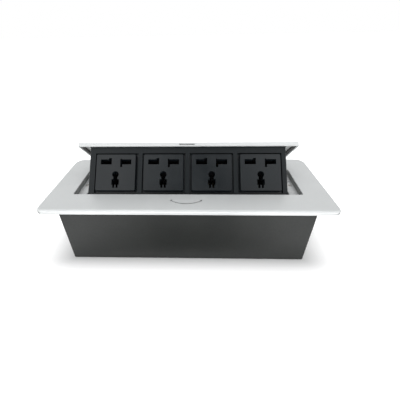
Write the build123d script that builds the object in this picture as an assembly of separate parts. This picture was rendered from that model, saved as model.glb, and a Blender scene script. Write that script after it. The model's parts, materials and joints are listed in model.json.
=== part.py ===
from build123d import *
import os
from math import asin, atan2, degrees, sqrt

# Flip-up desk socket, in millimetres, +Z up.
# X runs along the length, -Y is the user's side, Z = 0 is the underside of the lower box.
# X = 0 and Y = 0 are the middle of the frame. The model stands open, with the lid raised.
# Everything on the flip-up insert is drawn closed and then turned about the pivot.

# Frame
frame_depth = 112.0
frame_top = 69.0
end_overhang = 20.0
side_overhang = 4.0
rim_thickness = 4.5
front_corner = 6.5
back_corner = 11.0
frame_edge_round = 2.4
skin = 2.4

# Lower box
box_end_margin = 7.3
box_corner = 1.6
box_bend = 1.6
back_seam = 0.15
sheet = 1.2
box_fit = 0.2

# Well in the frame and the ledges at its two ends
front_strip = 28.8
back_strip = 28.8
insert_room = 31.4
well_corner = 2.0
well_chamfer = 0.4
ledge_drop = 5.8
ledge_width = 10.0
ledge_thickness = 2.0
pocket_wall = 2.0

# Flip motion
pivot_drop = 28.1
hub_wall_gap = 0.5

# Lid
lid_end_gap = 0.75
lid_front_gap = 0.8
lid_thickness = 4.4
lid_skin = 1.9
lid_lip = 1.8
lid_corner = 1.5
lid_edge_round = 0.8
lid_swing_gap = 0.7
latch_slot_width = 16.5
latch_slot_height = 2.2
latch_slot_rise = 1.2
carrier_rise = 0.3
carrier_setback = 7.2
carrier_fit = 0.15
carrier_end = 1.0
seal_width = 3.0

# Socket panel
panel_end_margin = 3.3
panel_side_gap = 4.0
panel_thickness = 3.0
panel_setback = 2.85
panel_foot = 7.13
panel_edge = 0.5

# Socket modules
module_count = 4
module_pitch = 50.6
module_shift = 0.7
cell_spacer = 4.5
cell_height = 43.2
cell_drop = 6.9
module_gap = 1.8
face_stand = 3.0
face_bevel = 0.5
face_corner = 1.2
flange_overlap = 0.9
flange_thickness = 1.5

# Socket holes, measured from the middle of a module
line_height = 11.3
pin_reach = 16.3
pin_start = 4.6
pin_height = 5.4
blade_width = 3.0
blade_extra = 1.4
blade_foot = 3.0
foot_width = 2.2
earth_round_drop = 2.3
earth_round_radius = 3.5
earth_neck = 4.4
earth_square_drop = 10.4
earth_square_width = 7.8
earth_square_height = 6.0
earth_leg_width = 2.1
earth_leg_height = 3.2
earth_leg_gap = 1.4

# Socket bases and contacts
base_side_gap = 1.2
base_end_gap = 2.6
cavity_margin = 1.2
busbar_thickness = 1.0
busbar_height = 3.0
earth_leaf_height = 5.0
busbar_end = 6.0
busbar_stagger = 4.6
contact_leaf = 0.7
contact_gap = 3.6
module_screw_inset = 2.6

# Rear cover of the insert
cover_space = 4.05
cover_wall = 1.8
foot_room = 7.0
post_radius = 3.0

# Side plates, pivot and brackets
plate_thickness = 1.5
hub_radius = 5.6
plate_margin = 4.0
neck_back = 8.0
neck_drop = 4.0
plate_screw_inset = 9.0
plate_screw_back = 6.0
plate_screw_drop = 8.0
arm_top = 2.5
arm_bottom = 10.5
pin_radius = 3.7
pin_bore = 2.9
running_gap = 0.05
collar = 1.2
pin_tail = 1.3
bush_wall = 0.75
bush_flange = 0.8
bush_flange_radius = 5.4
bracket_gap = 8.8
bracket_thickness = 2.0
bracket_width = 10.4
bracket_head = 5.2
foot_length = 7.5
rivet_radius = 1.6
rivet_head = 2.6
spring_wire = 1.0
spring_radius = 4.55
spring_turns = 4
spring_pitch = 1.15
spring_leg = 12.0
spring_back_leg = 3.0
spring_gap = 0.3
damper_radius = 5.6
damper_length = 7.4
damper_end = 1.2

# Open stop
toe_start = 48.0
toe_length = 20.0
toe_reach = 3.0
toe_thickness = 1.7
buffer_thickness = 1.0
buffer_inset = 0.2
buffer_gap = 0.23

# Release button and latch, measured from the front edge of the frame
button_chord = 29.6
button_chord_back = 17.7
button_sag = 4.5
button_gap = 1.5
button_back_gap = 0.05
button_end_hole = 1.25
button_thickness = 2.0
button_sink = 0.15
button_travel = 1.8
stem_width = 8.0
stem_depth = 2.5
toe_wedge = 2.7
wedge_gap = 0.25
tongue_width = 15.2
tongue_thickness = 1.6
tongue_engage = 1.2
tongue_chamfer = 0.8
slider_height = 5.4
slider_gap = 0.3
guide_wall = 4.0
guide_floor = 4.5
ear_reach = 4.0
ear_thickness = 2.0
latch_spring_radius = 1.5
latch_spring_wire = 0.4
latch_spring_turns = 5
button_spring_radius = 1.0
button_spring_wire = 0.35
button_spring_turns = 5
boss_radius = 3.5
boss_length = 6.6
ear_height = 2.8
latch_boss_x = 20.5

# Fits between the button, the slider and the guide
stem_setback = 1.3
tongue_rise = 0.2
window_gap = 0.4
press_gap = 0.3
slider_drop = 2.0
slider_nose = 5.1
riser_gap = 0.9
riser_depth = 3.0
ear_setback = 2.5
ear_drop = 1.2
guide_box_gap = 0.8
guide_margin = 1.5
guide_skin = 0.8
spring_seat = 1.0
spring_wall_depth = 3.6
wedge_drop = 2.7
wedge_lip = 0.3
window_side_gap = 0.6

# Fasteners
screw_radius = 1.5
screw_head = 2.8
screw_head_height = 1.6
small_screw = 1.1
small_head = 2.1
small_head_height = 1.3
drive_width = 0.6
drive_length = 2.6
drive_depth = 0.9
clamp_bolt_radius = 2.1
clamp_nut_radius = 4.0
clamp_nut_height = 3.0
clamp_spacing = 50.0
clamp_height = 30.0
frame_screw_tail = 3.5
frame_nut_height = 2.4
frame_nut_radius = 3.1
tab_half = 9.0
rivet_head_height = 1.2
lid_screw_setback = 12.0

# Pads on the ledges
pad_clearance = 0.3
pad_inset = 1.2
pad_setback = 9.2
pad_depth = 8.0

# Supply side in the lower box
inlet_x = -70.0
inlet_z = 20.0
inlet_bore = 4.1
grommet_radius = 8.0
grommet_groove = 6.2
grommet_flange = 2.4
grommet_inner = 2.0
block_length = 32.0
block_depth = 20.0
block_height = 15.8
block_setback = 36.8
block_poles = 3
block_bore = 2.2
block_screw = 2.0
block_bore_rise = 6.0
block_row = 4.4
block_screw_sink = 1.0
block_screw_length = 6.0
saddle_width = 20.0
saddle_depth = 6.0
saddle_gap = 0.6
saddle_cap = 6.0
saddle_screw_length = 14.0
saddle_screw_inset = 3.0
saddle_back_gap = 4.0
lead_radius = 2.5
lead_bend = 5.0
lead_end_gap = 10.0
lead_floor_gap = 0.8
lead_wall_gap = 2.0
lead_bore_gap = 0.3
lead_drop_gap = 9.0
stud_radius = 2.0
stud_height = 11.0
stud_x = -36.0
stud_setback = 24.8
stud_foot = 1.0
stud_nut_radius = 4.0
stud_nut_height = 3.2

# Lengths and widths, from the modules outwards
panel_length = module_count * module_pitch + 2 * panel_end_margin
well_length = panel_length + 2 * panel_side_gap + 2 * ledge_width
box_length = well_length + 2 * box_end_margin
frame_length = box_length + 2 * end_overhang
well_width = frame_depth - front_strip - back_strip
box_depth = frame_depth - 2 * side_overhang
cell_width = module_pitch - cell_spacer
base_width = cell_width - 2 * base_side_gap
base_height = cell_height - 2 * base_end_gap
base_depth = well_width - insert_room
contact_depth = base_depth / 2

# Levels and edges worked out from the sizes above
rim_under = frame_top - rim_thickness
skin_under = frame_top - skin
frame_front = -frame_depth / 2
well_front = frame_front + front_strip
well_back = well_front + well_width
ledge_top = frame_top - ledge_drop
ledge_under = ledge_top - ledge_thickness
well_half = well_length / 2
ledge_inner = well_half - ledge_width
box_inner_end = box_length / 2 - sheet
box_inner_back = box_depth / 2 - sheet
pivot_y = box_inner_back - hub_wall_gap - hub_radius
pivot_z = frame_top - pivot_drop
swing_radius = sqrt((pivot_y - well_back) ** 2 + pivot_drop ** 2) + lid_swing_gap

lid_half = well_half - lid_end_gap
lid_front = well_front + lid_front_gap
lid_under = frame_top - lid_thickness
carrier_top = frame_top - lid_skin
carrier_under = lid_under + carrier_rise
slot_low = lid_under + latch_slot_rise

panel_front = lid_front + panel_setback
panel_back = panel_front + panel_thickness
panel_half = panel_length / 2
cell_middle = lid_under - cell_drop - cell_height / 2
cover_foot = cell_middle - cell_height / 2 - foot_room
face_width = cell_width - 2 * module_gap
face_height = cell_height - 2 * module_gap
base_front = panel_back + flange_thickness
base_back = base_front + base_depth
cover_back = base_back + cover_space
plate_back = cover_back + plate_margin
carrier_back = well_back - carrier_setback

plate_outer = panel_half - 0.3
plate_inner = plate_outer - plate_thickness
bracket_inner = panel_half + bracket_gap
bracket_outer = bracket_inner + bracket_thickness
bush_radius = pin_radius + running_gap + bush_wall

button_back = frame_front + button_chord_back
button_front = button_back - button_sag
latch_face = lid_front + tongue_engage

# Opening angle at which the buffers on the toes meet the underside of the front strip
buffer_reach = pivot_y - panel_front + toe_reach - buffer_inset
buffer_drop = pivot_z - panel_foot - toe_thickness - buffer_thickness
buffer_rise = skin_under - buffer_gap - pivot_z
open_angle = degrees(atan2(buffer_drop, buffer_reach)
                     + asin(buffer_rise / sqrt(buffer_reach ** 2 + buffer_drop ** 2)))

# Places of screws, rivets, brackets and leads
ledge_screw_x = well_half - ledge_width / 2
rivet_x = bracket_outer + foot_length / 2
bracket_back = pivot_y + bracket_width / 2
bracket_front = pivot_y - bracket_width / 2
lid_screw_y = panel_back + lid_screw_setback
insert_lead_x = -plate_inner + lead_end_gap
insert_lead_z = cover_foot + cover_wall + lead_radius + lead_floor_gap
block_front = box_inner_back - block_setback
stud_y = box_inner_back - stud_setback
saddle_back = box_inner_back - saddle_back_gap
saddle_front = saddle_back - saddle_depth

# Button stem, latch slider and the guide round them
button_top = frame_top - button_sink
button_under = button_top - button_thickness
stem_front = button_front + stem_setback
stem_back = stem_front + stem_depth
stem_middle = (stem_front + stem_back) / 2
tongue_low = slot_low + tongue_rise
tongue_top = tongue_low + tongue_thickness
window_front = stem_front - window_gap
window_back = stem_back + button_travel + press_gap
slider_top = skin_under - slider_drop
slider_low = slider_top - slider_height
slider_front = window_front - slider_nose
latch_riser_back = window_back + riser_gap
slider_back = latch_riser_back + riser_depth
ear_back = slider_back - ear_setback
ear_front = ear_back - ear_thickness
ear_half = tongue_width / 2 + ear_reach
guide_front = -box_depth / 2 + sheet + guide_box_gap
guide_back = slider_back + guide_margin
guide_middle = (guide_front + guide_back) / 2
channel_low = slider_low - slider_gap
channel_half = tongue_width / 2 + slider_gap
guide_low = channel_low - guide_floor
spring_wall = guide_front + spring_wall_depth
stem_low = channel_low + button_travel + press_gap
wedge_top = button_under - wedge_drop
wedge_foot = wedge_top - wedge_lip - toe_wedge


def block(x0, x1, y0, y1, z0, z1):
    return Pos((x0 + x1) / 2, (y0 + y1) / 2, (z0 + z1) / 2) * Box(x1 - x0, y1 - y0, z1 - z0)


def rod_x(x0, x1, y, z, radius):
    return Pos((x0 + x1) / 2, y, z) * Rot(0, 90, 0) * Cylinder(radius, x1 - x0)


def rod_y(x, y0, y1, z, radius):
    return Pos(x, (y0 + y1) / 2, z) * Rot(90, 0, 0) * Cylinder(radius, y1 - y0)


def rod_z(x, y, z0, z1, radius):
    return Pos(x, y, (z0 + z1) / 2) * Cylinder(radius, z1 - z0)


def plate_z(length, depth, corner, z0, z1):
    return extrude(Pos(0, 0, z0) * RectangleRounded(length, depth, corner), z1 - z0)


def profile_x(points, x0, x1):
    face = make_face(Polyline(*points, close=True))
    return extrude(Plane.YZ.offset(x0) * face, x1 - x0)


def mirrored(shape):
    return mirror(shape, Plane.YZ)


def opened(shape):
    return shape.rotate(Axis((0, pivot_y, pivot_z), (1, 0, 0)), -open_angle)


def module_x(index):
    return module_shift + (index - (module_count - 1) / 2) * module_pitch


def cross_drive():
    bars = Box(drive_length, drive_width, drive_depth) + Box(drive_width, drive_length, drive_depth)
    return Pos(0, 0, -drive_depth / 2) * bars


def countersink(length):
    """Countersunk shape, wide end up, its flat top at the origin."""
    cone = Pos(0, 0, -screw_radius / 2) * Cone(screw_radius, screw_head, screw_radius)
    return cone + rod_z(0, 0, -length, -screw_radius / 2, screw_radius)


def pan_screw(length, radius, head, height):
    """Pan-head screw, head up, the underside of its head at the origin."""
    top = rod_z(0, 0, 0, height, head)
    top = fillet(top.faces().sort_by(Axis.Z)[-1].edges(), height / 3)
    return top + rod_z(0, 0, -length, 0.1, radius) - Pos(0, 0, height) * cross_drive()


def coil(radius, wire, turns, pitch):
    """Open coil along +Z, its first turn starting on +X at the origin's level."""
    path = Helix(pitch, pitch * turns, radius)
    section = Plane(path @ 0, z_dir=path % 0) * Circle(wire / 2)
    return sweep(section, path, is_frenet=True)


def button_outline(grow, back):
    """Segment under the chord: a straight back edge and an arc towards the front."""
    half = button_chord / 2 + grow
    ends = (-half, back), (half, back)
    arc = ThreePointArc(ends[0], (0, button_front - grow), ends[1])
    return make_face(arc + Line(ends[1], ends[0]))


def frame_plate():
    outline = Pos(0, 0, rim_under) * Rectangle(frame_length, frame_depth)
    rows = outline.vertices().group_by(Axis.Y)
    outline = fillet(rows[0], front_corner)
    outline = fillet(outline.vertices().group_by(Axis.Y)[-1], back_corner)
    plate = extrude(outline, rim_thickness)
    plate = fillet(plate.faces().sort_by(Axis.Z)[-1].edges(), frame_edge_round)
    seat_length = box_length + 2 * box_fit
    seat_depth = box_depth + 2 * box_fit
    plate -= plate_z(seat_length, seat_depth, box_corner + box_fit, rim_under - 1, skin_under)
    well_middle = (well_front + well_back) / 2
    plate -= Pos(0, well_middle, 0) * plate_z(well_length, well_width, well_corner, 0, frame_top + 1)
    rim_of_well = plate.faces().sort_by(Axis.Z)[-1].inner_wires()[0].edges()
    plate = chamfer(rim_of_well, well_chamfer)
    outer = well_half + pocket_wall
    for side in (-1, 1):
        x0, x1 = sorted((side * ledge_inner, side * outer))
        tray = block(x0, x1, well_front - pocket_wall, well_back + pocket_wall, ledge_under, skin_under + 0.5)
        h0, h1 = sorted((side * (ledge_inner - 1), side * well_half))
        tray -= block(h0, h1, well_front, well_back, ledge_top, frame_top)
        tray -= Pos(side * ledge_screw_x, 0, ledge_top) * countersink(2 * ledge_thickness)
        plate += tray
    plate -= extrude(Pos(0, 0, skin_under - 1) * button_outline(button_gap, button_back), skin + 2)
    for side in (-1, 1):
        plate -= rod_z(side * button_chord / 2, button_back, skin_under - 1, frame_top + 1, button_end_hole)
    plate -= block(-tongue_width / 2 - slider_gap, tongue_width / 2 + slider_gap,
                   latch_riser_back - button_travel - slider_gap, well_front + 1,
                   skin_under - 1, tongue_top + slider_gap)
    for side in (-1, 1):
        boss = rod_z(side * latch_boss_x, guide_middle, skin_under - boss_length, skin_under + 0.2, boss_radius)
        boss -= rod_z(side * latch_boss_x, guide_middle, 0, skin_under, screw_radius)
        plate += boss
    return plate


def frame_screws():
    screws = []
    length = ledge_thickness + sheet + frame_screw_tail
    for side in (-1, 1):
        screws.append(Pos(side * ledge_screw_x, 0, ledge_top) * (countersink(length) - cross_drive()))
    return screws


def frame_nuts():
    nuts = []
    for side in (-1, 1):
        top = ledge_under - sheet
        x = side * ledge_screw_x
        nut = extrude(Pos(x, 0, top) * RegularPolygon(frame_nut_radius, 6), -frame_nut_height)
        nuts.append(nut - rod_z(x, 0, 0, frame_top, screw_radius))
    return nuts


def ledge_pads():
    pads = []
    pad_top = lid_under - pad_clearance
    for side in (-1, 1):
        x0, x1 = sorted((side * (ledge_inner + pad_inset), side * (well_half - pad_inset)))
        pad_back = well_back - pad_setback
        pad = block(x0, x1, pad_back - pad_depth, pad_back, ledge_top, pad_top)
        pads.append(fillet(pad.edges().filter_by(Axis.Z), 1.5))
    return pads


def lower_box():
    shell = plate_z(box_length, box_depth, box_corner, 0, skin_under)
    shell = fillet(shell.faces().sort_by(Axis.Z)[0].edges(), box_bend)
    inner = plate_z(box_length - 2 * sheet, box_depth - 2 * sheet, box_corner - sheet, sheet, frame_top)
    inner = fillet(inner.faces().sort_by(Axis.Z)[0].edges(), box_bend - sheet)
    shell -= inner
    for side in (-1, 1):
        x0, x1 = sorted((side * (ledge_inner + 1), side * (box_length / 2 - sheet / 2)))
        tab = block(x0, x1, -tab_half, tab_half, ledge_under - sheet, ledge_under)
        tab -= rod_z(side * ledge_screw_x, 0, 0, frame_top, screw_radius)
        shell += tab
        for y in rivet_rows():
            shell -= rod_z(side * rivet_x, y, -1, sheet + 1, rivet_radius)
        for along in (-1, 1):
            hole_y = along * clamp_spacing / 2
            shell -= rod_x(side * box_length / 2 - 3, side * box_length / 2 + 3, hole_y, clamp_height,
                           clamp_bolt_radius)
    return shell - back_plate(back_seam, sheet)


def back_plate(grow, above):
    """Flat plate let into the back wall, grown all round to cut its window."""
    half = box_length / 2 - box_corner - sheet + grow
    return block(-half, half, box_inner_back - grow, box_depth / 2 + grow,
                 box_bend + sheet - grow, skin_under + above)


def box_back():
    return back_plate(0, 0) - rod_y(inlet_x, box_inner_back - 1, box_depth / 2 + 1, inlet_z, grommet_groove)


def rivet_rows():
    return bracket_front + rivet_head + 0.3, bracket_back - rivet_head - 0.3


def clamp_nuts():
    nuts = []
    for side in (-1, 1):
        for along in (-1, 1):
            y = along * clamp_spacing / 2
            seat = Plane(origin=(side * box_inner_end, y, clamp_height), x_dir=(0, 1, 0), z_dir=(-side, 0, 0))
            nut = extrude(seat * RegularPolygon(clamp_nut_radius, 6), clamp_nut_height)
            nuts.append(nut - rod_x(-frame_length, frame_length, y, clamp_height, clamp_bolt_radius))
    return nuts


def bracket(bore):
    """Right-hand pivot bracket; the left one is its mirror image."""
    plate = block(bracket_inner, bracket_outer, bracket_front, bracket_back, sheet, pivot_z)
    plate += rod_x(bracket_inner, bracket_outer, pivot_y, pivot_z, bracket_head)
    foot = block(bracket_inner, bracket_outer + foot_length, bracket_front, bracket_back,
                 sheet, sheet + bracket_thickness)
    for y in rivet_rows():
        foot -= rod_z(rivet_x, y, 0, pivot_z, rivet_radius)
    return plate + foot - rod_x(bracket_inner - 1, bracket_outer + 1, pivot_y, pivot_z, bore)


def bracket_rivets():
    rivets = []
    for side in (-1, 1):
        for y in rivet_rows():
            top = sheet + bracket_thickness
            rivet = rod_z(side * rivet_x, y, 0.3, top + 0.1, rivet_radius)
            head = rod_z(side * rivet_x, y, top, top + rivet_head_height, rivet_head)
            rivets.append(rivet + fillet(head.faces().sort_by(Axis.Z)[-1].edges(), 0.6))
    return rivets


def hollow_pivot():
    tube = rod_x(-bracket_outer, -plate_inner + pin_tail, pivot_y, pivot_z, pin_radius)
    tube += rod_x(-bracket_outer - collar, -bracket_outer, pivot_y, pivot_z, bush_flange_radius)
    return tube - rod_x(-bracket_outer - 5, -plate_inner + 5, pivot_y, pivot_z, pin_bore)


def pivot_bush(x_seat, length, flange_side):
    """Flanged nylon bush whose sleeve starts at x_seat and whose flange lies outside it."""
    sleeve = rod_x(x_seat, x_seat + length, pivot_y, pivot_z, bush_radius)
    edge = x_seat if flange_side < 0 else x_seat + length
    low, high = sorted((edge, edge + flange_side * bush_flange))
    sleeve += rod_x(low, high, pivot_y, pivot_z, bush_flange_radius)
    return sleeve - rod_x(x_seat - 5, x_seat + length + 5, pivot_y, pivot_z, pin_radius + running_gap)


def damper_shaft():
    end = bracket_outer + damper_length - damper_end - 0.4
    shaft = rod_x(plate_inner - pin_tail, end, pivot_y, pivot_z, pin_radius)
    shaft += rod_x(plate_inner - pin_tail, plate_inner, pivot_y, pivot_z, bush_flange_radius)
    shaft += rod_x(plate_outer, plate_outer + collar, pivot_y, pivot_z, bush_flange_radius)
    return opened(shaft)


def damper_housing():
    low = bracket_outer
    case = rod_x(low, low + damper_length, pivot_y, pivot_z, damper_radius)
    case = chamfer(case.faces().sort_by(Axis.X)[-1].edges(), 0.6)
    return case - rod_x(low - 1, low + damper_length - damper_end, pivot_y, pivot_z, pin_radius + running_gap)


def torsion_spring():
    """Right-hand spring around the pivot, with one straight leg at each end."""
    path = Helix(spring_pitch, spring_pitch * spring_turns, spring_radius)
    front_end = Plane(path @ 0, z_dir=path % 0) * Circle(spring_wire / 2)
    back_end = Plane(path @ 1, z_dir=path % 1) * Circle(spring_wire / 2)
    spring = sweep(front_end, path, is_frenet=True)
    spring += extrude(front_end, -spring_leg) + extrude(back_end, spring_back_leg)
    start = plate_outer + collar + spring_gap + spring_wire / 2
    seat = Plane(origin=(start, pivot_y, pivot_z), x_dir=(0, 0, -1), z_dir=(1, 0, 0))
    return seat * spring


def latch_guide():
    body = block(-ear_half - guide_wall, ear_half + guide_wall, guide_front, guide_back, guide_low, skin_under)
    body -= block(-channel_half, channel_half, guide_front + guide_skin, guide_back + 1, channel_low, frame_top)
    body -= block(-ear_half - slider_gap, ear_half + slider_gap, spring_wall, guide_back + 1,
                  channel_low, frame_top)
    pressed_under = button_under - button_travel - press_gap
    body -= block(-ear_half - guide_wall - 1, ear_half + guide_wall + 1, guide_front + 2,
                  button_back + 1, pressed_under, frame_top)
    body -= rod_z(0, stem_middle, guide_low + spring_seat, frame_top,
                  button_spring_radius + button_spring_wire + press_gap)
    for side in (-1, 1):
        x0, x1 = sorted((side * (ear_half + guide_wall - 1), side * (latch_boss_x + boss_radius)))
        top = skin_under - boss_length
        ear = block(x0, x1, guide_middle - boss_radius, guide_middle + boss_radius, top - ear_height, top)
        ear = fillet(ear.edges().filter_by(Axis.Z), 1.0)
        body += ear - rod_z(side * latch_boss_x, guide_middle, 0, frame_top, screw_radius)
    return body


def guide_screws():
    screws = []
    seat = skin_under - boss_length - ear_height
    for side in (-1, 1):
        screw = pan_screw(ear_height + boss_length - 1.0, screw_radius, screw_head, screw_head_height)
        screws.append(Pos(side * latch_boss_x, guide_middle, seat) * Rot(180, 0, 0) * screw)
    return screws


def release_button():
    outline = button_outline(-running_gap, button_back - button_back_gap)
    key = extrude(Pos(0, 0, button_under) * outline, button_thickness)
    stem = block(-stem_width / 2, stem_width / 2, stem_front, stem_back, stem_low, button_under + 0.1)
    wedge = profile_x([(stem_front + 0.1, wedge_top), (stem_front - toe_wedge, wedge_top),
                       (stem_front - toe_wedge, wedge_top - wedge_lip), (stem_front, wedge_foot),
                       (stem_front + 0.1, wedge_foot)], -stem_width / 2, stem_width / 2)
    return key + stem + wedge


def button_spring():
    low = guide_low + spring_seat + button_spring_wire / 2
    reach = stem_low - button_spring_wire - low
    pitch = reach / button_spring_turns
    return Pos(0, stem_middle, low) * coil(button_spring_radius, button_spring_wire,
                                           button_spring_turns, pitch)


def latch_slider():
    half = tongue_width / 2
    body = block(-half, half, slider_front, slider_back, slider_low, slider_top)
    body += block(-half, half, latch_riser_back, slider_back, slider_low, skin_under - slider_gap)
    window_half = stem_width / 2 + window_side_gap
    body -= block(-window_half, window_half, window_front, window_back, 0, frame_top)
    slope = wedge_foot + stem_front - wedge_gap * sqrt(2)
    inside = window_front + 0.5
    body -= profile_x([(inside, slope - inside), (inside, frame_top), (slope - frame_top, frame_top)],
                      -window_half, window_half)
    root = latch_riser_back + riser_depth / 2
    tongue = profile_x([(root, tongue_low), (latch_face, tongue_low),
                        (latch_face, tongue_top - tongue_chamfer),
                        (latch_face - tongue_chamfer, tongue_top),
                        (root, tongue_top)], -half, half)
    body += tongue
    for side in (-1, 1):
        x0, x1 = sorted((side * (half - 0.5), side * ear_half))
        body += block(x0, x1, ear_front, ear_back, slider_low, slider_top - ear_drop)
    return body


def latch_springs():
    springs = []
    low = spring_wall + latch_spring_wire / 2 + 0.1
    reach = ear_front - latch_spring_wire / 2 - 0.1 - low
    for side in (-1, 1):
        x = side * (tongue_width / 2 + ear_reach / 2 + slider_gap / 2)
        z = slider_low + latch_spring_radius + latch_spring_wire
        seat = Plane(origin=(x, low, z), x_dir=(1, 0, 0), z_dir=(0, 1, 0))
        springs.append(seat * coil(latch_spring_radius, latch_spring_wire, latch_spring_turns,
                                   reach / latch_spring_turns))
    return springs


def lid_plate():
    back = well_back - lid_front_gap
    middle = (lid_front + back) / 2
    lid = Pos(0, middle, 0) * plate_z(2 * lid_half, back - lid_front, lid_corner, lid_under, frame_top)
    lid = fillet(lid.faces().sort_by(Axis.Z)[-1].edges(), lid_edge_round)
    inner = lid_half - lid_lip
    lid -= block(-inner, inner, lid_front + lid_lip, back + 1, lid_under - 1, carrier_top)
    lid -= rod_x(-frame_length, frame_length, pivot_y, pivot_z, swing_radius)
    lid -= block(-latch_slot_width / 2, latch_slot_width / 2, lid_front - 1, lid_front + lid_lip,
                 slot_low, slot_low + latch_slot_height)
    for x in lid_screw_places():
        lid -= rod_z(x, lid_screw_y, 0, frame_top - 0.7, small_screw)
    return opened(lid)


def lid_screw_places():
    return [module_x(i) for i in range(module_count)]


def lid_carrier():
    half = panel_half + carrier_end
    front = lid_front + lid_lip + carrier_fit
    plate = block(-half, half, front, carrier_back, carrier_under, carrier_top)
    plate -= rod_x(-frame_length, frame_length, pivot_y, pivot_z, swing_radius)
    for x in lid_screw_places():
        plate -= rod_z(x, lid_screw_y, 0, frame_top, small_screw)
    return opened(plate)


def lid_seals():
    """Soft strip along the inside of the lip at each end of the lid."""
    seals = []
    front = lid_front + lid_lip + carrier_fit
    outer = lid_half - lid_lip - carrier_fit
    for side in (-1, 1):
        x0, x1 = sorted((side * outer, side * (outer - seal_width)))
        strip = block(x0, x1, front, carrier_back, carrier_under, carrier_top)
        seals.append(opened(strip - rod_x(-frame_length, frame_length, pivot_y, pivot_z, swing_radius)))
    return seals


def lid_screws():
    seat = carrier_under - cover_wall
    screws = []
    for x in lid_screw_places():
        screw = pan_screw(frame_top - 0.9 - seat, small_screw, small_head, small_head_height)
        screws.append(opened(Pos(x, lid_screw_y, seat) * Rot(180, 0, 0) * screw))
    return screws


def socket_panel():
    panel = block(-panel_half, panel_half, panel_front, panel_back, panel_foot, carrier_under)
    panel = chamfer(panel.faces().sort_by(Axis.Y)[0].edges().filter_by(Axis.Z), panel_edge)
    for index in range(module_count):
        x = module_x(index)
        z0 = cell_middle - cell_height / 2
        panel -= block(x - cell_width / 2, x + cell_width / 2, panel_front - 1, panel_back + 1,
                       z0, z0 + cell_height)
    for side in (-1, 1):
        x0, x1 = sorted((side * toe_start, side * (toe_start + toe_length)))
        panel += block(x0, x1, panel_front - toe_reach, panel_front + 1, panel_foot,
                       panel_foot + toe_thickness)
    for x, z in cover_screw_places():
        panel -= rod_y(x, panel_front + 0.9, panel_back + 1, z, small_screw)
    return opened(panel)


def cover_screw_places():
    return [(module_x(i) + module_pitch / 2, cell_middle) for i in range(module_count - 1)]


def stop_buffers():
    pads = []
    for side in (-1, 1):
        x0, x1 = sorted((side * (toe_start + 1), side * (toe_start + toe_length - 1)))
        low = panel_foot + toe_thickness
        pads.append(opened(block(x0, x1, panel_front - toe_reach + buffer_inset, panel_front - buffer_inset,
                                 low, low + buffer_thickness)))
    return pads


def pin_holes(x, depth_front, depth_back):
    """The holes of one universal socket, as a cutter."""
    line = cell_middle + line_height
    low, high = line - pin_height / 2, line + pin_height / 2
    left = block(x - pin_reach, x - pin_start, depth_front, depth_back, low, high)
    left += block(x - pin_start - blade_width, x - pin_start, depth_front, depth_back,
                  low, high + blade_extra)
    right = block(x + pin_start, x + pin_reach, depth_front, depth_back, low, high)
    right += block(x + pin_start, x + pin_start + foot_width, depth_front, depth_back,
                   low - blade_foot, high)
    right += block(x + pin_start, x + pin_start + blade_width / 2, depth_front, depth_back,
                   low, high + blade_extra / 2)
    round_z = cell_middle - earth_round_drop
    earth = rod_y(x, depth_front, depth_back, round_z, earth_round_radius)
    square_z = cell_middle - earth_square_drop
    square_top = square_z + earth_square_height / 2
    square_low = square_z - earth_square_height / 2
    earth += block(x - earth_neck / 2, x + earth_neck / 2, depth_front, depth_back, square_z, round_z)
    half = earth_square_width / 2
    earth += block(x - half, x + half, depth_front, depth_back, square_low, square_top)
    for side in (-1, 1):
        inner = side * earth_leg_gap / 2
        x0, x1 = sorted((x + inner, x + inner + side * earth_leg_width))
        earth += block(x0, x1, depth_front, depth_back, square_low - earth_leg_height, square_low + 1)
    return left + right + earth


def socket_face(index):
    x = module_x(index)
    seat = Plane(origin=(x, panel_front, cell_middle), x_dir=(1, 0, 0), z_dir=(0, -1, 0))
    foot = seat * RectangleRounded(face_width, face_height, face_corner)
    crown = RectangleRounded(face_width - 2 * face_bevel, face_height - 2 * face_bevel, face_corner)
    face = extrude(foot, panel_front - base_front) + loft([foot, seat.offset(face_stand) * crown])
    half_width = cell_width / 2 + flange_overlap
    half_height = cell_height / 2 + flange_overlap
    face += block(x - half_width, x + half_width, panel_back, base_front,
                  cell_middle - half_height, cell_middle + half_height)
    for sx, sz in module_screw_places(x):
        face -= rod_y(sx, panel_front + 1.4, base_front + 1, sz, small_screw)
    return opened(face - pin_holes(x, panel_front - face_stand - 1, base_front + 1))


def module_screw_places(x):
    half_x = base_width / 2 - module_screw_inset
    half_z = base_height / 2 - module_screw_inset
    return (x - half_x, cell_middle - half_z), (x + half_x, cell_middle - half_z)


def socket_base(index):
    x = module_x(index)
    body = block(x - base_width / 2, x + base_width / 2, base_front, base_back,
                 cell_middle - base_height / 2, cell_middle + base_height / 2)
    low = cell_middle + line_height - pin_height / 2 - blade_foot - cavity_margin / 2
    high = cell_middle + line_height + pin_height / 2 + blade_extra + cavity_margin / 2
    for side in (-1, 1):
        x0, x1 = sorted((x + side * (pin_start - cavity_margin), x + side * (pin_reach + cavity_margin)))
        body -= block(x0, x1, base_front - 1, base_back + 1, low, high)
    half = earth_square_width / 2 + cavity_margin
    earth_low = cell_middle - earth_square_drop - earth_square_height / 2 - earth_leg_height - 0.2
    earth_high = cell_middle - earth_round_drop + earth_round_radius + 0.6
    body -= block(x - half, x + half, base_front - 1, base_back + 1, earth_low, earth_high)
    for sx, sz in module_screw_places(x):
        body -= rod_y(sx, base_front - 1, base_back + 1, sz, small_screw)
    return opened(body)


def module_screws():
    screws = []
    for index in range(module_count):
        for sx, sz in module_screw_places(module_x(index)):
            screw = pan_screw(base_back - panel_front - 1.6, small_screw, small_head, small_head_height)
            screws.append(opened(Pos(sx, base_back, sz) * Rot(-90, 0, 0) * screw))
    return screws


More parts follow.
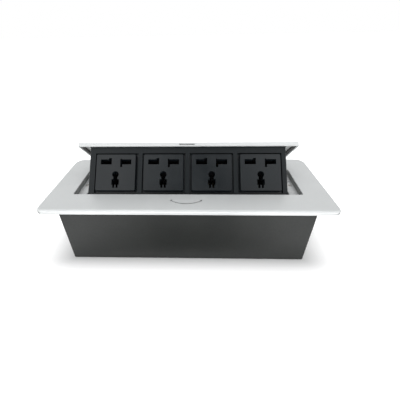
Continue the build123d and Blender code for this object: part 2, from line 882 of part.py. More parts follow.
def busbar(height, contact_x, leaf_height):
    """Brass strip behind the bases, with one sprung pair of leaves in each socket."""
    x_first = module_x(0) + contact_x
    x_last = module_x(module_count - 1) + contact_x
    low = cell_middle + height - busbar_height / 2
    strip = block(x_first - busbar_end, x_last + busbar_end, base_back, base_back + busbar_thickness,
                  low, low + busbar_height)
    for index in range(module_count):
        x = module_x(index) + contact_x
        for side in (-1, 1):
            x0, x1 = sorted((x + side * contact_gap / 2, x + side * (contact_gap / 2 + contact_leaf)))
            strip += block(x0, x1, base_back - contact_depth, base_back + 0.2,
                           low + busbar_height / 2 - leaf_height / 2,
                           low + busbar_height / 2 + leaf_height / 2)
    return opened(strip)


def rear_cover():
    half = plate_inner
    shell = block(-half, half, panel_back, cover_back, cover_foot, carrier_under)
    shell -= block(-half + cover_wall, half - cover_wall, panel_back - 1, cover_back - cover_wall,
                   cover_foot + cover_wall, carrier_under - cover_wall)
    for x, z in cover_screw_places():
        post = rod_y(x, base_front + 0.1, cover_back - cover_wall + 0.1, z, post_radius)
        shell += post - rod_y(x, panel_back - 1, cover_back + 1, z, small_screw)
        shell -= rod_y(x, cover_back - cover_wall - 1, cover_back + 1, z, small_screw)
    shell -= rod_y(insert_lead_x, cover_back - cover_wall - 1, cover_back + 1, insert_lead_z,
                   lead_radius + lead_bore_gap)
    for x in lid_screw_places():
        shell -= rod_z(x, lid_screw_y, carrier_under - cover_wall - 1, carrier_under + 1, small_screw)
    for side in (-1, 1):
        for y, z in plate_screw_places():
            x0, x1 = sorted((side * (half - cover_wall - 1), side * (half + 1)))
            shell -= rod_x(x0, x1, y, z, small_screw)
    return opened(shell)


def cover_screws():
    screws = []
    for x, z in cover_screw_places():
        screw = pan_screw(cover_back - panel_front - 1.2, small_screw, small_head, small_head_height)
        screws.append(opened(Pos(x, cover_back, z) * Rot(-90, 0, 0) * screw))
    return screws


def plate_screw_places():
    rows = panel_back + plate_screw_inset, cover_back - plate_screw_back
    return [(y, z) for y in rows for z in (cover_foot + plate_screw_inset, carrier_under - plate_screw_drop)]


def side_plate(bore):
    """Right-hand gooseneck plate, bent forward under the back strip of the frame."""
    top = pivot_z + arm_top
    low = pivot_z - arm_bottom
    outline = [(panel_back, cover_foot), (panel_back, carrier_under), (plate_back, carrier_under),
               (plate_back, top), (pivot_y, top), (pivot_y, pivot_z - hub_radius),
               (pivot_y - neck_back, pivot_z - hub_radius), (plate_back + neck_drop, low),
               (cover_back, low - neck_drop),
               (cover_back, cover_foot)]
    plate = profile_x(outline, plate_inner, plate_outer)
    plate += rod_x(plate_inner, plate_outer, pivot_y, pivot_z, hub_radius)
    plate -= rod_x(plate_inner - 1, plate_outer + 1, pivot_y, pivot_z, bore)
    for y, z in plate_screw_places():
        plate -= rod_x(plate_inner - 1, plate_outer + 1, y, z, small_screw)
    return plate


def plate_screws():
    screws = []
    for side in (-1, 1):
        for y, z in plate_screw_places():
            screw = pan_screw(plate_thickness + cover_wall - 0.2, small_screw, small_head, small_head_height)
            screws.append(opened(Pos(side * plate_outer, y, z) * Rot(0, side * 90, 0) * screw))
    return screws


def lead(points, bends):
    """Round sheathed lead along straight runs joined by tangent arcs."""
    path = FilletPolyline(*points, radius=bends)
    section = Plane(path @ 0, z_dir=path % 0) * Circle(lead_radius)
    return sweep(section, path)


def supply_lead():
    start_x = inlet_x - block_length / 2
    outside = -bracket_outer - collar - lead_bend - 0.6
    y = bracket_front - lead_radius - lead_wall_gap
    z = sheet + lead_radius + lead_wall_gap
    return lead([(start_x, y, z), (outside, y, z), (outside, pivot_y, pivot_z),
                 (-plate_inner + 1.6, pivot_y, pivot_z)], lead_bend - 0.5)


def insert_lead():
    drop_y = cover_back + lead_drop_gap
    return opened(lead([(-plate_inner + 2.0, pivot_y, pivot_z), (insert_lead_x, pivot_y, pivot_z),
                        (insert_lead_x, drop_y + 6, pivot_z - 2), (insert_lead_x, drop_y, insert_lead_z),
                        (insert_lead_x, base_back - 8, insert_lead_z)], lead_bend - 1.0))


def terminal_block():
    x0 = inlet_x - block_length / 2
    body = block(x0, x0 + block_length, block_front, block_front + block_depth, sheet, sheet + block_height)
    body = chamfer(body.faces().sort_by(Axis.Z)[-1].edges(), 0.8)
    for x in pole_places():
        body -= rod_y(x, block_front - 1, block_front + block_depth + 1, sheet + block_bore_rise, block_bore)
        for y in clamp_rows():
            body -= rod_z(x, y, sheet + block_bore_rise, sheet + block_height + 1, block_screw)
    return body


def pole_places():
    pitch = block_length / block_poles
    return [inlet_x + (i - (block_poles - 1) / 2) * pitch for i in range(block_poles)]


def clamp_rows():
    middle = block_front + block_depth / 2
    return middle - block_row, middle + block_row


def terminal_screws():
    screws = []
    for x in pole_places():
        for y in clamp_rows():
            top = sheet + block_height - block_screw_sink
            screw = rod_z(x, y, top - block_screw_length, top, block_screw)
            screws.append(screw - Pos(x, y, top) * Box(2 * block_screw + 1, 0.8, 1.4))
    return screws


def saddle_holes():
    reach = saddle_width / 2 - saddle_screw_inset
    return inlet_x - reach, inlet_x + reach


def cord_saddle():
    body = block(inlet_x - saddle_width / 2, inlet_x + saddle_width / 2, saddle_front, saddle_back,
                 sheet, inlet_z - saddle_gap / 2)
    body -= rod_y(inlet_x, saddle_front - 1, saddle_back + 1, inlet_z, inlet_bore)
    for x in saddle_holes():
        body -= rod_z(x, (saddle_front + saddle_back) / 2, 4, frame_top, small_screw)
    return body


def cord_clamp():
    body = block(inlet_x - saddle_width / 2, inlet_x + saddle_width / 2, saddle_front, saddle_back,
                 inlet_z + saddle_gap / 2, inlet_z + saddle_gap / 2 + saddle_cap)
    body = fillet(body.faces().sort_by(Axis.Z)[-1].edges().filter_by(Axis.Y), 2.0)
    body -= rod_y(inlet_x, saddle_front - 1, saddle_back + 1, inlet_z, inlet_bore)
    for x in saddle_holes():
        body -= rod_z(x, (saddle_front + saddle_back) / 2, 0, frame_top, small_screw)
    return body


def clamp_screws():
    screws = []
    top = inlet_z + saddle_gap / 2 + saddle_cap
    for x in saddle_holes():
        screw = pan_screw(saddle_screw_length, small_screw, small_head, small_head_height)
        screws.append(Pos(x, (saddle_front + saddle_back) / 2, top) * screw)
    return screws


def cable_grommet():
    outer = box_depth / 2
    ring = rod_y(inlet_x, outer, outer + grommet_flange, inlet_z, grommet_radius)
    ring = fillet(ring.faces().sort_by(Axis.Y)[-1].edges(), 1.0)
    ring += rod_y(inlet_x, box_inner_back - 0.1, outer + 0.1, inlet_z, grommet_groove)
    ring += rod_y(inlet_x, box_inner_back - grommet_inner, box_inner_back, inlet_z, grommet_radius)
    return ring - rod_y(inlet_x, 0, frame_depth, inlet_z, inlet_bore)


def earth_stud():
    stud = rod_z(stud_x, stud_y, sheet, sheet + stud_height, stud_radius)
    stud += rod_z(stud_x, stud_y, sheet, sheet + stud_foot, 2 * stud_radius)
    return chamfer(stud.faces().sort_by(Axis.Z)[-1].edges(), 0.5)


def earth_nut():
    low = sheet + stud_foot
    nut = extrude(Pos(stud_x, stud_y, low) * RegularPolygon(stud_nut_radius, 6), stud_nut_height)
    return nut - rod_z(stud_x, stud_y, low - 1, low + 5, stud_radius)


def write(name, shape):
    solids = shape if isinstance(shape, list) else [shape]
    piece = Compound(children=solids) if len(solids) > 1 else solids[0]
    export_step(piece, os.path.join("parts", name + ".step"))


os.makedirs("parts", exist_ok=True)

nodes = {
    "frame_plate": frame_plate(),
    "frame_screws": frame_screws(),
    "frame_nuts": frame_nuts(),
    "ledge_pads": ledge_pads(),
    "lower_box": lower_box(),
    "box_back": box_back(),
    "clamp_nuts": clamp_nuts(),
    "pivot_bracket_left": mirrored(bracket(pin_radius)),
    "pivot_bracket_right": bracket(bush_radius),
    "bracket_rivets": bracket_rivets(),
    "hollow_pivot": hollow_pivot(),
    "pivot_bush_right": pivot_bush(bracket_inner, bracket_thickness, -1),
    "damper_housing": damper_housing(),
    "torsion_spring_left": mirrored(torsion_spring()),
    "torsion_spring_right": torsion_spring(),
    "latch_guide": latch_guide(),
    "guide_screws": guide_screws(),
    "release_button": release_button(),
    "button_spring": button_spring(),
    "latch_slider": latch_slider(),
    "latch_springs": latch_springs(),
    "terminal_block": terminal_block(),
    "terminal_screws": terminal_screws(),
    "cord_saddle": cord_saddle(),
    "cord_clamp": cord_clamp(),
    "clamp_screws": clamp_screws(),
    "cable_grommet": cable_grommet(),
    "earth_stud": earth_stud(),
    "earth_nut": earth_nut(),
    "supply_lead": supply_lead(),
    "lid_plate": lid_plate(),
    "lid_carrier": lid_carrier(),
    "lid_seals": lid_seals(),
    "lid_screws": lid_screws(),
    "socket_panel": socket_panel(),
    "stop_buffers": stop_buffers(),
    "side_plate_left": opened(mirrored(side_plate(bush_radius))),
    "side_plate_right": opened(side_plate(pin_radius)),
    "plate_screws": plate_screws(),
    "pivot_bush_left": opened(pivot_bush(-plate_outer, plate_thickness, -1)),
    "damper_shaft": damper_shaft(),
    "rear_cover": rear_cover(),
    "cover_screws": cover_screws(),
    "module_screws": module_screws(),
    "insert_lead": insert_lead(),
    "live_busbar": busbar(line_height + busbar_stagger / 2, (pin_start + pin_reach) / 2, busbar_height),
    "neutral_busbar": busbar(line_height - busbar_stagger / 2, -(pin_start + pin_reach) / 2, busbar_height),
    "earth_busbar": busbar(-earth_square_drop, 0, earth_leaf_height),
}
for number in range(module_count):
    nodes["socket_face_" + str(number + 1)] = socket_face(number)
    nodes["socket_base_" + str(number + 1)] = socket_base(number)

for name, shape in nodes.items():
    write(name, shape)
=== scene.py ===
import json
import math

import bpy
import numpy as np
from mathutils import Matrix, Vector


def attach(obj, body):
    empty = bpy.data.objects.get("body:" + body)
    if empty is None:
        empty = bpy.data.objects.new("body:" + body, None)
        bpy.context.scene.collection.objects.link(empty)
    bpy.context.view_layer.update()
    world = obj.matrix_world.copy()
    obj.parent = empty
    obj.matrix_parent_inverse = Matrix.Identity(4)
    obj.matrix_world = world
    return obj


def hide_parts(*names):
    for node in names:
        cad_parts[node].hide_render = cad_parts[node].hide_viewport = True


# Flip-up desk socket: camera, finishes, the two leads inside the box, and the studio.
# Lengths are in metres, but the pivot, the leads' routes and their radius are in millimetres.

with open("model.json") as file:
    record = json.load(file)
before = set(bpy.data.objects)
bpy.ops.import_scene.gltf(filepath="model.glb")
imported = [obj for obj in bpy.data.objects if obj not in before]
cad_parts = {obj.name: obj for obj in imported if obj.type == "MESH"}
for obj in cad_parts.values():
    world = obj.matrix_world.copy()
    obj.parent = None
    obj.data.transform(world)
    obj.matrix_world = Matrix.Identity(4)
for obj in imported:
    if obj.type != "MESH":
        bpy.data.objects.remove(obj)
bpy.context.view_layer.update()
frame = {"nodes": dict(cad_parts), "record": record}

MM = 0.001
WHITE = (1.0, 1.0, 1.0, 1.0)

# Camera
LENS = 22.844
SENSOR = 36.0
SHIFT_X = 0.0338
NEAREST_SEEN = 0.005
CAMERA_PLACE = (0.00868, -0.24522, 0.2133)
CAMERA_YAW = math.radians(-2.334)
CAMERA_PITCH = math.radians(34.772)
CAMERA_ROLL = math.radians(-1.15)


def place_camera():
    """Camera from its yaw, pitch and roll: the columns of its matrix are right, up and back."""
    sy, cy = math.sin(CAMERA_YAW), math.cos(CAMERA_YAW)
    sp, cp = math.sin(CAMERA_PITCH), math.cos(CAMERA_PITCH)
    forward = Vector((sy * cp, cy * cp, -sp))
    right = Vector((cy, -sy, 0.0))
    up = right.cross(forward)
    sr, cr = math.sin(CAMERA_ROLL), math.cos(CAMERA_ROLL)
    side = cr * right + sr * up
    top = -sr * right + cr * up
    camera = bpy.data.objects.new("camera", bpy.data.cameras.new("camera"))
    camera.data.lens = LENS
    camera.data.sensor_width = SENSOR
    camera.data.shift_x = SHIFT_X
    camera.data.clip_start = NEAREST_SEEN
    matrix = Matrix((side, top, -forward)).transposed().to_4x4()
    matrix.translation = Vector(CAMERA_PLACE)
    camera.matrix_world = matrix
    bpy.context.collection.objects.link(camera)
    bpy.context.scene.camera = camera


# Node helpers

def new_material(name):
    """A material, its node tree and its shader."""
    material = bpy.data.materials.new(name)
    material.use_nodes = True
    tree = material.node_tree
    return material, tree, tree.nodes["Principled BSDF"]


def add(tree, kind, **values):
    """A node, with sockets set by name."""
    node = tree.nodes.new(kind)
    settle(node, **values)
    return node


def settle(node, **values):
    """Sets sockets that are the same all over, by name."""
    for key, value in values.items():
        node.inputs[key].default_value = value


def stretched(tree, per_metre):
    """Object coordinates times a number, or times one number for each axis."""
    coordinates = tree.nodes.new("ShaderNodeTexCoord")
    scale = per_metre if isinstance(per_metre, tuple) else (per_metre,) * 3
    mapping = add(tree, "ShaderNodeMapping", Scale=scale)
    tree.links.new(coordinates.outputs["Object"], mapping.inputs["Vector"])
    return mapping.outputs["Vector"]


def noise(tree, per_metre, detail=3.0):
    """Noise on object coordinates, with so many features per metre."""
    node = add(tree, "ShaderNodeTexNoise", Scale=1.0, Detail=detail, Roughness=0.55)
    tree.links.new(stretched(tree, per_metre), node.inputs["Vector"])
    return node.outputs["Fac"]


def spread(tree, value, low, high, start=0.3, end=0.7):
    """A straight line from low at start to high at end, level outside."""
    limits = {"From Min": start, "From Max": end, "To Min": low, "To Max": high}
    node = add(tree, "ShaderNodeMapRange", **limits)
    tree.links.new(value, node.inputs["Value"])
    return node.outputs["Result"]


def mixed(tree, factor, first, second):
    """Colour between two colours or sockets: the first at factor 0, the second at 1."""
    node = tree.nodes.new("ShaderNodeMix")
    node.data_type = "RGBA"
    tree.links.new(factor, node.inputs["Factor"])
    for key, colour in (("A", first), ("B", second)):
        socket = [s for s in node.inputs if s.name == key and s.type == "RGBA"][0]
        if isinstance(colour, tuple):
            socket.default_value = (*colour, 1.0)
        else:
            tree.links.new(colour, socket)
    return [s for s in node.outputs if s.type == "RGBA"][0]


def bumped(tree, shader, height, distance, strength, below=None):
    """Bump of the shader: a height times a distance in metres, on top of the bump below it."""
    node = add(tree, "ShaderNodeBump", Strength=strength, Distance=distance)
    tree.links.new(height, node.inputs["Height"])
    if below is not None:
        tree.links.new(below.outputs["Normal"], node.inputs["Normal"])
    tree.links.new(node.outputs["Normal"], shader.inputs["Normal"])
    return node


def roughened(tree, shader, value, smooth, rough):
    """Roughness that follows a noise, from smooth to rough."""
    tree.links.new(spread(tree, value, smooth, rough), shader.inputs["Roughness"])


def toned(tree, value, dark, light):
    """Colour that follows a noise, from dark to light."""
    return mixed(tree, spread(tree, value, 0.0, 1.0), dark, light)


def arithmetic(tree, operation, first, second=None):
    """One step of arithmetic on a socket, with a number or another socket."""
    node = tree.nodes.new("ShaderNodeMath")
    node.operation = operation
    tree.links.new(first, node.inputs[0])
    if isinstance(second, float):
        node.inputs[1].default_value = second
    elif second is not None:
        tree.links.new(second, node.inputs[1])
    return node.outputs[0]


def place_along(tree, axis):
    """One of the object's own coordinates, in metres."""
    coordinates = tree.nodes.new("ShaderNodeTexCoord")
    split = tree.nodes.new("ShaderNodeSeparateXYZ")
    tree.links.new(coordinates.outputs["Object"], split.inputs[0])
    return split.outputs[axis]


def distance_from(tree, axis, middle):
    """Distance from a plane across an axis: the coordinate less the plane's place, without its sign."""
    return arithmetic(tree, "ABSOLUTE", arithmetic(tree, "SUBTRACT", place_along(tree, axis), middle))


# Well of the frame: half its length, half its width, and where its upright walls end
WELL_END = 0.1185
WELL_HALF = 0.0272
WELL_TOP = 0.0686
# Where the painted shade on the end walls starts and ends fading off their planes
WALL_NEAR = 0.0003
WALL_FAR = 0.0005


def painted_shade_on_well_ends(tree):
    """Mask of the painted shade: 1 on the two end walls of the well, falling to 0 from near to far off
    their planes.
    """
    aside = arithmetic(tree, "SUBTRACT", distance_from(tree, "X", 0.0), WELL_END)
    share = spread(tree, arithmetic(tree, "ABSOLUTE", aside), 1.0, 0.0, start=WALL_NEAR, end=WALL_FAR)
    across = distance_from(tree, "Y", 0.0)
    share = arithmetic(tree, "MULTIPLY", share, arithmetic(tree, "LESS_THAN", across, WELL_HALF))
    below = arithmetic(tree, "LESS_THAN", place_along(tree, "Z"), WELL_TOP)
    return arithmetic(tree, "MULTIPLY", share, below)


# Finishes

SILVER_DULL = (0.55, 0.565, 0.565)
SILVER_PALE = (0.595, 0.61, 0.61)
SILVER_GLINT = (0.70, 0.715, 0.715)
# Dark grey of the painted shade on the well's end walls
SILVER_PAINTED_SHADE = (0.29, 0.30, 0.295)
SPECK_LIFT = 2.2


def silver_lacquer():
    """Silver lacquer on a casting: metal flake, orange peel, and painted shade that darkens the well's
    end walls.
    """
    material, tree, shader = new_material("silver_lacquer")
    flakes = add(tree, "ShaderNodeTexVoronoi", Scale=1.0)
    tree.links.new(stretched(tree, per_metre=2600.0), flakes.inputs["Vector"])
    tone = toned(tree, noise(tree, per_metre=22.0, detail=4.0), SILVER_DULL, SILVER_PALE)
    glint = spread(tree, flakes.outputs["Color"], 0.0, 0.22, start=0.2, end=0.9)
    colour = mixed(tree, glint, tone, SILVER_GLINT)
    # Painted shade: the end walls of the well are darkened, standing in for the shadow that the insert
    # casts on them
    colour = mixed(tree, painted_shade_on_well_ends(tree), colour, SILVER_PAINTED_SHADE)
    tree.links.new(colour, shader.inputs["Base Color"])
    roughened(tree, shader, noise(tree, per_metre=240.0), 0.34, 0.42)
    settle(shader, **{"Metallic": 0.35, "Coat Weight": 0.25, "Coat Roughness": 0.18})
    peel = noise(tree, per_metre=700.0, detail=2.0)
    peel_bump = bumped(tree, shader, peel, distance=0.00004, strength=0.5)
    bumped(tree, shader, flakes.outputs["Distance"], distance=0.00002, strength=0.25, below=peel_bump)
    return material


def powder_coat(name, dark, light, roughness, grain, gloss):
    """Powder coat on sheet: two close tones with paler specks, orange peel and a fine sandy grain."""
    material, tree, shader = new_material(name)
    colour = toned(tree, noise(tree, per_metre=30.0, detail=5.0), dark, light)
    speck = spread(tree, noise(tree, per_metre=2200.0, detail=1.0), 0.0, 0.35, start=0.5, end=0.72)
    speck_colour = tuple(SPECK_LIFT * part for part in light)
    tree.links.new(mixed(tree, speck, colour, speck_colour), shader.inputs["Base Color"])
    roughened(tree, shader, noise(tree, per_metre=500.0), roughness - 0.05, roughness + 0.06)
    settle(shader, **{"Specular IOR Level": gloss})
    peel = bumped(tree, shader, noise(tree, grain), distance=0.00006, strength=0.55)
    bumped(tree, shader, noise(tree, 4 * grain, detail=2.0), distance=0.00002, strength=0.35, below=peel)
    return material


def moulded(name, dark, light, roughness, grain, gloss=0.4):
    """Moulded plastic: eroded texture, faint flow marks along the mould, and glossier patches."""
    material, tree, shader = new_material(name)
    flow = noise(tree, per_metre=(14.0, 14.0, 60.0), detail=4.0)
    tree.links.new(toned(tree, flow, dark, light), shader.inputs["Base Color"])
    roughened(tree, shader, noise(tree, per_metre=45.0), roughness - 0.07, roughness + 0.05)
    settle(shader, **{"Specular IOR Level": gloss})
    bumped(tree, shader, noise(tree, grain), distance=0.00003, strength=0.5)
    return material


def plated(name, dull, bright, roughness, streaks=(90.0, 2400.0, 2400.0)):
    """Plated or drawn metal: fine streaks along one direction over cloudy plating."""
    material, tree, shader = new_material(name)
    streak = noise(tree, streaks)
    cloud = noise(tree, per_metre=160.0, detail=4.0)
    tree.links.new(toned(tree, cloud, dull, bright), shader.inputs["Base Color"])
    roughened(tree, shader, streak, roughness - 0.08, roughness + 0.1)
    settle(shader, Metallic=1.0)
    bumped(tree, shader, streak, distance=0.00002, strength=0.4)
    return material


def rubbery(name, dark, light, roughness):
    """Matt rubber or sheath: dusty tone and a fine pebbled skin."""
    material, tree, shader = new_material(name)
    dust = noise(tree, per_metre=120.0, detail=5.0)
    tree.links.new(toned(tree, dust, dark, light), shader.inputs["Base Color"])
    roughened(tree, shader, noise(tree, per_metre=300.0), roughness - 0.06, roughness + 0.06)
    settle(shader, **{"Specular IOR Level": 0.3, "Sheen Weight": 0.12})
    bumped(tree, shader, noise(tree, per_metre=2600.0, detail=2.0), distance=0.00004, strength=0.6)
    return material


finishes = {
    "cast_silver": silver_lacquer(),
    "charcoal_sheet": powder_coat(
        "charcoal_powder", dark=(0.0100, 0.0110, 0.0105), light=(0.0135, 0.0145, 0.0138),
        roughness=0.46, grain=900.0, gloss=0.42),
    "black_satin": powder_coat(
        "black_satin_coat", dark=(0.0032, 0.0046, 0.0054), light=(0.0046, 0.0064, 0.0074),
        roughness=0.38, grain=1200.0, gloss=0.40),
    "socket_black": moulded(
        "socket_plastic", dark=(0.0034, 0.0050, 0.0062), light=(0.0048, 0.0069, 0.0085),
        roughness=0.34, grain=2400.0, gloss=0.64),
    "black_plastic": moulded(
        "inner_plastic", dark=(0.010, 0.010, 0.011), light=(0.016, 0.016, 0.017),
        roughness=0.5, grain=1800.0),
    "white_nylon": moulded(
        "white_nylon", dark=(0.66, 0.65, 0.61), light=(0.74, 0.73, 0.69),
        roughness=0.42, grain=1500.0),
    "black_rubber": rubbery(
        "black_rubber", dark=(0.010, 0.010, 0.011), light=(0.020, 0.020, 0.020), roughness=0.72),
    "grey_rubber": rubbery(
        "grey_silicone", dark=(0.36, 0.37, 0.37), light=(0.44, 0.45, 0.45), roughness=0.6),
    "lead_sheath": rubbery(
        "lead_sheath", dark=(0.012, 0.012, 0.012), light=(0.018, 0.018, 0.018), roughness=0.6),
    "zinc_steel": plated(
        "zinc_plate", dull=(0.46, 0.47, 0.48), bright=(0.60, 0.60, 0.58), roughness=0.36),
    "screw_steel": plated(
        "nickel_plate", dull=(0.48, 0.47, 0.45), bright=(0.62, 0.61, 0.59), roughness=0.28,
        streaks=(900.0, 900.0, 900.0)),
    "spring_steel": plated(
        "spring_wire", dull=(0.40, 0.40, 0.41), bright=(0.52, 0.52, 0.52), roughness=0.3),
    # Contact brass far darker than bright brass: painted shade for the contacts deep in the socket
    # holes, where no glint shows
    "brass_contact": plated(
        "contact_brass_painted_dark", dull=(0.13, 0.10, 0.05), bright=(0.19, 0.145, 0.07), roughness=0.5),
}


def dress_nodes():
    """Every node takes the finish of its slot in the record."""
    for part in frame["record"]["subparts"]:
        shape = frame["nodes"][part["node"]]
        for place in shape.material_slots:
            place.material = finishes[part["material_slot"]]


# Leads inside the box

PIVOT_Y = 44.7
PIVOT_Z = 40.9
OPEN_ANGLE = math.radians(42.794)
SUPPLY_ROUTE = (
    (-86.0, 35.0, 5.7),
    (-112.0, 35.0, 5.7),
    (-122.1, 35.0, 5.7),
    (-122.1, 40.0, 23.0),
    (-122.1, 44.7, 40.9),
    (-117.5, 44.7, 40.9),
    (-101.1, 44.7, 40.9),
)
INSERT_ROUTE = (
    (-100.7, 44.7, 40.9),
    (-92.7, 44.7, 40.9),
    (-92.7, 23.0, 38.9),
    (-92.7, 17.0, 12.6),
    (-92.7, 12.0, 12.6),
    (-92.7, -4.0, 12.6),
)
LEAD_RADIUS = 2.5
STEPS_PER_POINT = 16
SECTION_STEPS = 6


def turned_open(route):
    """Points of the closed insert turned open about the pivot: a turn in the plane of y and z."""
    points = np.array(route)
    y = points[:, 1] - PIVOT_Y
    z = points[:, 2] - PIVOT_Z
    c, s = math.cos(OPEN_ANGLE), math.sin(OPEN_ANGLE)
    return np.stack([points[:, 0], PIVOT_Y + y * c + z * s, PIVOT_Z - y * s + z * c], -1)


def lead_line(name, route):
    """One smooth spline with the route's points as its control points, and a round section."""
    curve = bpy.data.curves.new(name, "CURVE")
    curve.dimensions = "3D"
    line = curve.splines.new("NURBS")
    line.points.add(len(route) - 1)
    points = np.concatenate([np.array(route) * MM, np.ones((len(route), 1))], 1)
    line.points.foreach_set("co", points.ravel())
    line.order_u = 3
    line.use_endpoint_u = True
    line.resolution_u = STEPS_PER_POINT
    curve.bevel_depth = LEAD_RADIUS * MM
    curve.bevel_resolution = SECTION_STEPS
    curve.use_fill_caps = True
    return curve


def lead(name, route, node, body):
    """Round sheathed lead: the mesh of its line, which stands for a node and rides on a body."""
    holder = bpy.data.objects.new(name + "_line", lead_line(name + "_line", route))
    bpy.context.collection.objects.link(holder)
    bpy.context.view_layer.update()
    shown = holder.evaluated_get(bpy.context.evaluated_depsgraph_get())
    shape = bpy.data.meshes.new_from_object(shown)
    bpy.data.objects.remove(holder)
    shape.materials.clear()
    shape.materials.append(finishes["lead_sheath"])
    shape.polygons.foreach_set("use_smooth", np.ones(len(shape.polygons), bool))
    piece = bpy.data.objects.new(name, shape)
    bpy.context.collection.objects.link(piece)
    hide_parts(node)
    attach(piece, body)


# Floor and world

FLOOR_HALF = 6.0
FLOOR_LEVEL = -0.0003
FLOOR_GREY = (0.70, 0.70, 0.70, 1.0)

# Half the footprint of the lower box, how much its distance counts, and how far the painted shade
# reaches
BOX_HALF = {"X": 0.1258, "Y": 0.052}
DISTANCE_SHARE = {"X": 0.55, "Y": 1.0}
SHADE_LIFT = 0.05
SHADE_REACH = 0.04

WORLD_TINT = (0.97, 0.985, 1.0, 1.0)
WORLD_LEVEL = 0.36


def seen_white(tree):
    """1 for rays from the camera, from gloss and through clear pieces, otherwise 0."""
    path = tree.nodes.new("ShaderNodeLightPath")
    seen = arithmetic(tree, "MAXIMUM", path.outputs["Is Camera Ray"], path.outputs["Is Glossy Ray"])
    return arithmetic(tree, "MAXIMUM", seen, path.outputs["Is Transmission Ray"])


def away_from_box(tree):
    """Distance from the box's footprint: the root of the squares of how far a point is beyond it."""
    squares = []
    for axis, half in BOX_HALF.items():
        beyond = arithmetic(tree, "SUBTRACT", distance_from(tree, axis, 0.0), half)
        beyond = arithmetic(tree, "MULTIPLY", beyond, DISTANCE_SHARE[axis])
        squares.append(arithmetic(tree, "POWER", arithmetic(tree, "MAXIMUM", beyond, 0.0), 2.0))
    return arithmetic(tree, "SQRT", arithmetic(tree, "ADD", *squares))


def flat_piece(name, corners, material):
    """A flat four-cornered piece of the studio."""
    mesh = bpy.data.meshes.new(name)
    mesh.from_pydata(corners, [], [(0, 1, 2, 3)])
    mesh.materials.append(material)
    piece = bpy.data.objects.new(name, mesh)
    bpy.context.collection.objects.link(piece)
    return piece


def lying(left, right, front, back, level):
    """Corners of a level rectangle that faces upwards."""
    return [(left, front, level), (right, front, level), (right, back, level), (left, back, level)]


def stage_floor():
    """Large white floor: near the object it keeps the cast shadow, deepened by painted shade where its
    white glow fades towards the box's footprint, and it is plain white further out.
    """
    material, tree, shader = new_material("floor_white")
    settle(shader, **{"Base Color": FLOOR_GREY, "Roughness": 0.8, "Specular IOR Level": 0.1,
                      "Emission Color": WHITE})
    # Painted shade: the white glow is weakest at the box's footprint and reaches further sideways, so
    # the floor darkens around the box beyond its cast shadow
    lift = spread(tree, away_from_box(tree), SHADE_LIFT, 1.0, start=0.0, end=SHADE_REACH)
    glow = arithmetic(tree, "MULTIPLY", lift, seen_white(tree))
    tree.links.new(glow, shader.inputs["Emission Strength"])
    corners = lying(-FLOOR_HALF, FLOOR_HALF, -FLOOR_HALF, FLOOR_HALF, FLOOR_LEVEL)
    flat_piece("floor", corners, material)


def light_world():
    """Soft grey light, seen as white by the camera, by gloss and through clear pieces."""
    world = bpy.data.worlds.new("studio")
    bpy.context.scene.world = world
    world.use_nodes = True
    tree = world.node_tree
    tree.nodes.clear()
    dim = add(tree, "ShaderNodeBackground", Color=WORLD_TINT, Strength=WORLD_LEVEL)
    white = add(tree, "ShaderNodeBackground", Color=WHITE, Strength=1.0)
    mix = tree.nodes.new("ShaderNodeMixShader")
    tree.links.new(seen_white(tree), mix.inputs[0])
    tree.links.new(dim.outputs[0], mix.inputs[1])
    tree.links.new(white.outputs[0], mix.inputs[2])
    output = tree.nodes.new("ShaderNodeOutputWorld")
    tree.links.new(mix.outputs[0], output.inputs["Surface"])


# Lamps: place, size and watts
LAMP_TARGET = (0.0, 0.0, 0.05)
LAMPS = {
    "front_box": ((0.0, -1.0, 0.34), (1.1, 0.5), 14.5),
    "left_box": ((-0.9, -0.35, 0.6), (0.5, 0.5), 0.3),
    "right_box": ((0.9, -0.35, 0.6), (0.5, 0.5), 0.3),
    "top_box": ((0.0, 0.15, 1.1), (0.9, 0.6), 4.5),
}


def softbox(name, place, size, watts):
    """Rectangular lamp turned to the object, which doesn't show in gloss."""
    lamp = bpy.data.lights.new(name, "AREA")
    lamp.shape = "RECTANGLE"
    lamp.size, lamp.size_y = size
    lamp.energy = watts
    holder = bpy.data.objects.new(name, lamp)
    holder.location = place
    holder.visible_glossy = False
    aim = Vector(LAMP_TARGET) - Vector(place)
    holder.rotation_euler = aim.to_track_quat("-Z", "Y").to_euler()
    bpy.context.collection.objects.link(holder)


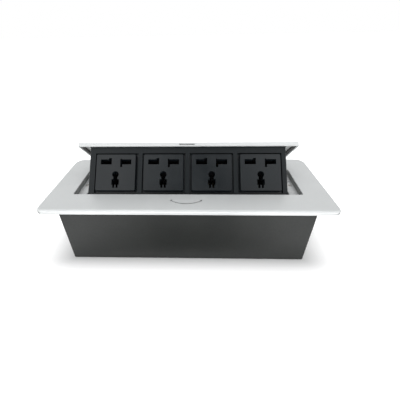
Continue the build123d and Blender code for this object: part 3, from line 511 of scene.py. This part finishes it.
# Dark cards seen in gloss alone, which paint dark reflections: corners, and where they start and end
# fading on both sides of their middle
PAINTED_REFLECTION_BLACK = (0.01, 0.01, 0.01, 1.0)
CARD_LEVEL = 0.0004
STANDING_Y = -0.62
CARDS = {
    "standing_card": ([(-0.34, STANDING_Y, 0.25), (0.44, STANDING_Y, 0.25),
                       (0.44, STANDING_Y, 1.5), (-0.34, STANDING_Y, 1.5)], 0.12, 0.38),
    "lying_card": (lying(-0.16, 0.16, -0.15, -0.064, CARD_LEVEL), 0.04, 0.14),
    "left_card": (lying(-0.6, -0.16, -0.15, 0.7, CARD_LEVEL), 0.18, 0.22),
    "right_card": (lying(0.16, 0.6, -0.15, 0.7, CARD_LEVEL), 0.18, 0.22),
}


def painted_reflection_card(name, corners, near, far):
    """Black card that shows in gloss alone, a painted dark reflection that neither lights nor shades
    anything, and fades out sideways, from near to far off its middle.
    """
    material, tree, shader = new_material(name)
    settle(shader, **{"Base Color": PAINTED_REFLECTION_BLACK, "Specular IOR Level": 0.0})
    middle = float(np.mean([corner[0] for corner in corners]))
    mix = tree.nodes.new("ShaderNodeMixShader")
    clear = tree.nodes.new("ShaderNodeBsdfTransparent")
    fade = spread(tree, distance_from(tree, "X", middle), 0.0, 1.0, start=near, end=far)
    tree.links.new(fade, mix.inputs[0])
    tree.links.new(shader.outputs[0], mix.inputs[1])
    tree.links.new(clear.outputs[0], mix.inputs[2])
    tree.links.new(mix.outputs[0], tree.nodes["Material Output"].inputs["Surface"])
    card = flat_piece(name, corners, material)
    card.visible_camera = False
    card.visible_diffuse = False
    card.visible_shadow = False
    card.visible_transmission = False


place_camera()
dress_nodes()
lead("supply_sheath", SUPPLY_ROUTE, "supply_lead", "base")
lead("insert_sheath", turned_open(INSERT_ROUTE), "insert_lead", "insert")
stage_floor()
light_world()
for name, lamp in LAMPS.items():
    softbox(name, *lamp)
for name, card in CARDS.items():
    painted_reflection_card(name, *card)

bpy.context.scene.view_settings.view_transform = "Standard"
